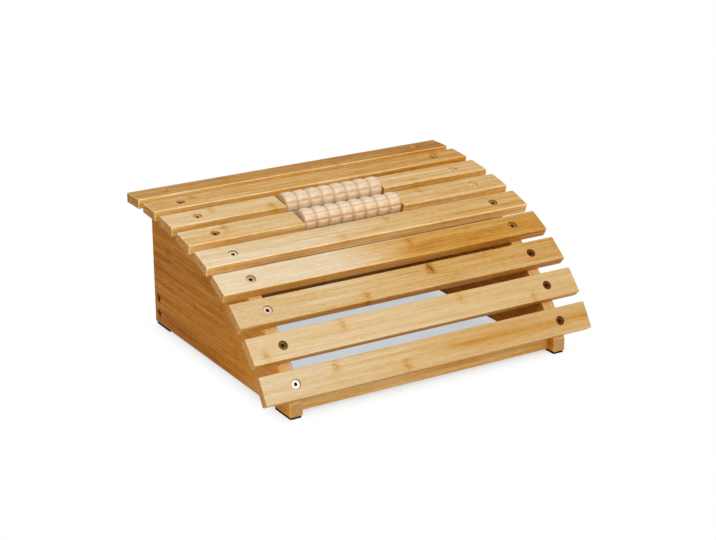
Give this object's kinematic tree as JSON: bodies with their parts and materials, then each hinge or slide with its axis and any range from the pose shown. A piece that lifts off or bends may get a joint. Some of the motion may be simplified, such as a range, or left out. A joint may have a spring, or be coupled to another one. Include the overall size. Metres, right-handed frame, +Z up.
{
  "type": "massage footrest",
  "caption": "Free-standing sloped footrest of bamboo slats over two curved side panels, with knobbed wooden rollers that turn under the soles.",
  "frame": {"origin": "on the floor, in the middle of the footrest's outline", "axes": "+X along the slats, to the right of a sitter who faces it from the low front; +Y to the high back; +Z up"},
  "size_m": [0.43, 0.342, 0.1742],
  "materials": {
    "slat_bamboo": "satin lacquer",
    "frame_bamboo": "satin lacquer",
    "roller_wood": "smooth turned wood",
    "axle_steel": "plain steel",
    "screw_zinc": "zinc plated",
    "pad_rubber": "matt black"
  },
  "bodies": {
    "frame": {"slat_1": "slat_bamboo", "slat_2": "slat_bamboo", "slat_3_left": "slat_bamboo", "slat_3_right": "slat_bamboo", "slat_4_left": "slat_bamboo", "slat_4_right": "slat_bamboo", "slat_5": "slat_bamboo", "slat_6": "slat_bamboo", "slat_7": "slat_bamboo", "slat_8": "slat_bamboo", "slat_9": "slat_bamboo", "left_side_panel": "frame_bamboo", "right_side_panel": "frame_bamboo", "back_rail": "frame_bamboo", "front_rail": "frame_bamboo", "left_roller_rib": "frame_bamboo", "right_roller_rib": "frame_bamboo", "front_left_foot_pad": "pad_rubber", "back_left_foot_pad": "pad_rubber", "front_right_foot_pad": "pad_rubber", "back_right_foot_pad": "pad_rubber", "slat_screws": "screw_zinc", "rib_screws": "screw_zinc", "back_rail_screws": "screw_zinc", "front_rail_screws": "screw_zinc", "back_roller_axle": "axle_steel", "front_roller_axle": "axle_steel"},
    "back_roller": {"back_roller": "roller_wood"},
    "front_roller": {"front_roller": "roller_wood"}
  },
  "joints": [
    {"name": "back_roller_spin", "type": "hinge", "parent": "frame", "child": "back_roller", "pos_m": [0, 0.0631, 0.15965], "axis": [1, 0, 0], "continuous": true},
    {"name": "front_roller_spin", "type": "hinge", "parent": "frame", "child": "front_roller", "pos_m": [0, 0.01985, 0.15177], "axis": [1, 0, 0], "continuous": true}
  ]
}
